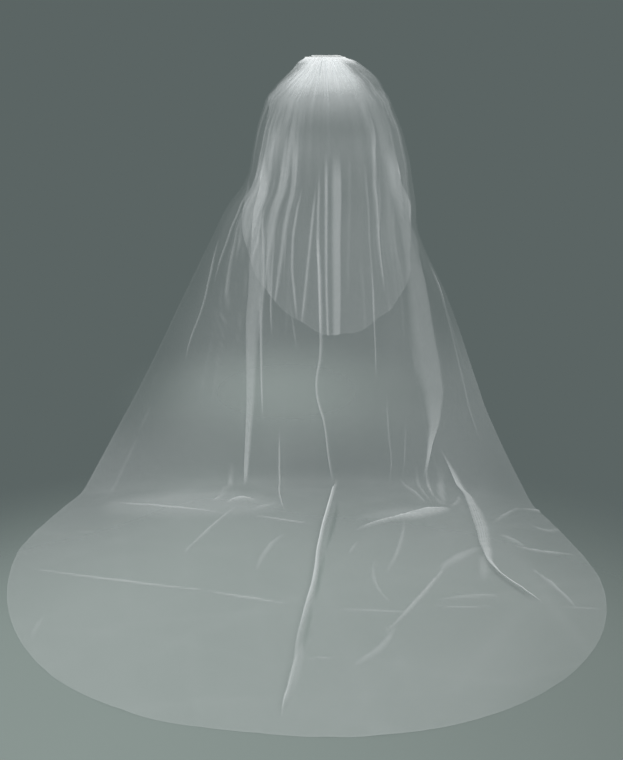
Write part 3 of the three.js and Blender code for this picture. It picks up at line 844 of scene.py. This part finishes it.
def coordinates(wire, vector):
    parts = wire.node("ShaderNodeSeparateXYZ", Vector=vector).outputs
    return [Wire(wire.tree, part) for part in parts]


def smooth_range(wire, value, start, end, low, high):
    """Smooth step of a value, from low at start to high at end."""
    made = wire.node("ShaderNodeMapRange", {"interpolation_type": "SMOOTHSTEP"}, Value=value,
                     From_Min=start, From_Max=end, To_Min=low, To_Max=high)
    return Wire(wire.tree, made.outputs[0])


def colour_between(wire, shader, value, *stops):
    """Base colour between two stops, each a place on the ramp and its colour."""
    ramp = wire.node("ShaderNodeValToRGB", {"stops": stops}, i0=value)
    wire.feed(shader.inputs["Base Color"], ramp.outputs[0])


def raised(wire, shader, height, strength, distance):
    bump = wire.node("ShaderNodeBump", Strength=strength, Distance=distance, Height=height)
    wire.feed(shader.inputs["Normal"], bump.outputs[0])


MESH_PITCH = 0.0018
COS_60, SIN_60 = 0.5, 0.866


def net_material():
    """White net: its alpha is that of all its layers together, 1 - (1 - one layer) ^ layers, a little
    denser on the threads of a fine six-sided mesh and uneven as real net is."""
    made, wire, shader = material("white_net", 0.62, Base_Color=(0.93, 0.95, 0.95, 1),
                                  Sheen_Weight=0.25, Specular_IOR_Level=0.25)
    cloth = wire.node("ShaderNodeUVMap", {"uv_map": "cloth"}).outputs[0]
    u, v, _ = coordinates(wire, cloth)
    turn = 2 * math.pi / MESH_PITCH
    first = (u * turn).sine()
    second = (u * (turn * -COS_60) + v * (turn * SIN_60)).sine()
    third = (u * (turn * -COS_60) - v * (turn * SIN_60)).sine()
    threads = (first + second + third) * 0.22 + 0.45
    uneven = noise(wire, cloth, 2.2) * 0.5 + 0.75
    fine = noise(wire, cloth, 60.0) * 0.3 + 0.85
    counted = wire.node("ShaderNodeAttribute", {"attribute_name": "layers"}).outputs["Fac"]
    clear = (1 - NET_ALPHA) ** (Wire(wire.tree, counted) * uneven * fine)
    alpha = (1 - clear) * (threads * 0.2 + 0.91)
    wire.feed(shader.inputs["Alpha"], alpha.lowest(0.97))
    raised(wire, shader, threads, 0.25, 0.0004)
    made.surface_render_method = "DITHERED"
    return made


def gather_material():
    """Dense gathers of the same net: nearly solid white, lined down the gathers, each line slightly
    rough, and sheer between the lines in the ruffle along the top."""
    made, wire, shader = material("gathered_net", 0.7, Sheen_Weight=0.3)
    where = wire.node("ShaderNodeTexCoord").outputs["Object"]
    x, _, z = coordinates(wire, where)
    blur = noise(wire, where, 180.0)
    lines = (x * 5200 + blur * 9).sine() * 0.5 + 0.5
    weave = (z * 6000 + blur * 4).sine() * 0.5 + 0.5
    shade = lines * 0.5 + weave * 0.2 + blur * 0.3
    colour_between(wire, shader, shade,
                   (0.15, (0.74, 0.77, 0.76, 1)), (0.85, (0.95, 0.96, 0.945, 1)))
    raised(wire, shader, shade, 0.6, 0.0006)
    ruffle = (z - (HEADING_HIGH.z - 0.006)).highest(0.0) * 60
    wire.feed(shader.inputs["Alpha"], (0.97 - ruffle * (1 - lines)).highest(0.35))
    return made


def comb_material():
    """Milky moulded plastic with faint flow lines, stretched along the spine."""
    made, wire, shader = material("milky_plastic", 0.32)
    where = wire.node("ShaderNodeTexCoord").outputs["Object"]
    stretch = wire.node("ShaderNodeMapping", Vector=where, Scale=(60, 400, 220)).outputs[0]
    flow = noise(wire, stretch, 1.0, 5.0)
    colour_between(wire, shader, flow, (0.3, (0.70, 0.73, 0.73, 1)), (0.7, (0.86, 0.875, 0.87, 1)))
    wire.feed(shader.inputs["Roughness"], flow * 0.2 + 0.22)
    raised(wire, shader, flow, 0.15, 0.0003)
    return made


def thread_material():
    """White thread with the slanting lines of its twist."""
    made, wire, shader = material("white_thread", 0.55)
    _, y, z = coordinates(wire, wire.node("ShaderNodeTexCoord").outputs["Object"])
    ply = (y * 9000 + z * 9000).sine() * 0.5 + 0.5
    colour_between(wire, shader, ply, (0.0, (0.78, 0.79, 0.77, 1)), (1.0, (0.95, 0.95, 0.93, 1)))
    raised(wire, shader, ply, 0.5, 0.0002)
    return made


BACKDROP = (0.105, 0.130, 0.127)
FLOOR_NEAR = (0.222, 0.262, 0.244)
# Share of the floor colour kept on the right side, where shade is painted.
FLOOR_SHADED_SIDE = 0.62
FLOOR_SIDE = 6.5
FLOOR_LEVEL = FLOOR - 0.0006


def light_pool(wire, where, centre, reach, inner, outer):
    """1 inside an oval pool of light on the floor and 0 outside it: a smooth step of the distance from
    its centre, counted in its reach along x and y."""
    place = wire.node(
        "ShaderNodeMapping", Vector=where, Scale=(1 / reach[0], 1 / reach[1], 1.0),
        Location=(-centre[0] / reach[0], -centre[1] / reach[1], -FLOOR_LEVEL)).outputs[0]
    away = wire.node("ShaderNodeVectorMath", {"operation": "LENGTH"}, i0=place).outputs["Value"]
    return smooth_range(wire, away, inner, outer, 1.0, 0.0)


def floor_material():
    """A floor with painted light and shade: pale inside painted pools of light, darker to the right
    with painted shade, and clear outside the pools."""
    made, wire, shader = material("studio_floor", 0.9, Specular_IOR_Level=0.1)
    where = wire.node("ShaderNodeTexCoord").outputs["Object"]
    train = light_pool(wire, where, (-0.10, -1.75), (1.2, 1.0), 0.75, 1.70)
    far = light_pool(wire, where, (-0.15, 0.70), (0.70, 0.80), 0.0, 1.2) * 0.85
    left = light_pool(wire, where, (-0.42, -0.35), (0.45, 0.75), 0.0, 1.0) * 0.25
    fade = 1 - (train.highest(far) + left).lowest(1.0)
    # Painted shade: the floor colour darkens towards the right, away from the key light.
    shade = smooth_range(wire, coordinates(wire, where)[0], -0.7, 1.5, 0.0, 1.0)
    mottle = (noise(wire, where, 1.4, 2.0) - 0.5) * 0.12
    dark = [part * FLOOR_SHADED_SIDE for part in FLOOR_NEAR]
    colour = wire.node("ShaderNodeMix", {"data_type": "RGBA"}, i0=shade + mottle,
                       i6=(*FLOOR_NEAR, 1), i7=(*dark, 1))
    wire.feed(shader.inputs["Base Color"], colour.outputs[2])
    clear = wire.node("ShaderNodeBsdfTransparent")
    blend = wire.node("ShaderNodeMixShader", i0=fade, i1=shader.outputs[0], i2=clear.outputs[0])
    wire.feed(wire.tree.nodes["Material Output"].inputs["Surface"], blend.outputs[0])
    return made


def floor():
    """A plain square floor that fades out into the backdrop around it."""
    mesh = bpy.data.meshes.new("studio_floor")
    corners = [(x, y, FLOOR_LEVEL) for x, y in (
        (-FLOOR_SIDE, -FLOOR_SIDE), (FLOOR_SIDE, -FLOOR_SIDE), (FLOOR_SIDE, FLOOR_SIDE),
        (-FLOOR_SIDE, FLOOR_SIDE))]
    mesh.from_pydata(corners, [], [(0, 1, 2, 3)])
    mesh.materials.append(floor_material())
    linked("studio_floor", mesh)


def world():
    """A plain backdrop for the camera and soft pale room light for all else."""
    made = bpy.data.worlds.new("studio")
    bpy.context.scene.world = made
    made.use_nodes = True
    wire = Wire(made.node_tree, None)
    seen = wire.node("ShaderNodeLightPath").outputs["Is Camera Ray"]
    backdrop = wire.node("ShaderNodeBackground", Color=(*BACKDROP, 1), Strength=1.0)
    room = wire.node("ShaderNodeBackground", Color=(0.93, 0.98, 1.0, 1), Strength=0.50)
    blend = wire.node("ShaderNodeMixShader", i0=seen, i1=room.outputs[0], i2=backdrop.outputs[0])
    wire.feed(made.node_tree.nodes["World Output"].inputs[0], blend.outputs[0])


def area_light(name, place, aim, size, power):
    light = bpy.data.lights.new(name, "AREA")
    light.shape, light.size, light.energy = "DISK", size, power
    lamp = linked(name, light)
    lamp.location = place
    lamp.rotation_euler = (Vector(aim) - Vector(place)).to_track_quat("-Z", "Y").to_euler()


CAMERA_BACK = 4.0
CAMERA_SIDE = -0.048
CAMERA_ABOVE = 0.200
CAMERA_PITCH = 19.35
FOCAL_PIXELS = 1097.0
PHOTO_HEIGHT = 760


def camera():
    """The photograph's camera, behind the veil and looking down. Its sensor goes by the longer side."""
    lens = bpy.data.cameras.new("photo_camera")
    lens.sensor_width = 36.0
    lens.lens = FOCAL_PIXELS / PHOTO_HEIGHT * lens.sensor_width
    lens.clip_start, lens.clip_end = 0.05, 60.0
    seat = linked("photo_camera", lens)
    seat.location = (CAMERA_SIDE, -CAMERA_BACK, CAMERA_ABOVE)
    seat.rotation_euler = (math.radians(90 - CAMERA_PITCH), 0, 0)
    bpy.context.scene.camera = seat


camera()
net = net_material()

long_net = long_tier()
long_net.data.materials.append(net)
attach(long_net, "root")
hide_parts("long_tier")

short_net = short_tier()
short_net.data.materials.append(net)
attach(short_net, "root")
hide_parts("short_tier")

ruffle = heading()
ruffle.data.materials.append(gather_material())
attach(ruffle, "root")
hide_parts("gathered_heading")

thread = stitches()
thread.data.materials.append(thread_material())
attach(thread, "root")

comb_skin = comb_material()
for slot in frame["nodes"]["comb"].material_slots:
    slot.material = comb_skin

floor()
world()
area_light("key_light", (-2.4, -4.2, 3.2), (0, -0.6, -0.9), 3.2, 160)
area_light("fill_light", (3.4, -2.6, 2.4), (0, -0.5, -0.7), 3.0, 90)
area_light("back_light", (0.5, 3.6, 2.6), (0, -0.3, -0.8), 3.0, 70)

scene = bpy.context.scene
scene.view_settings.view_transform = "Standard"
scene.cycles.transparent_max_bounces = 64
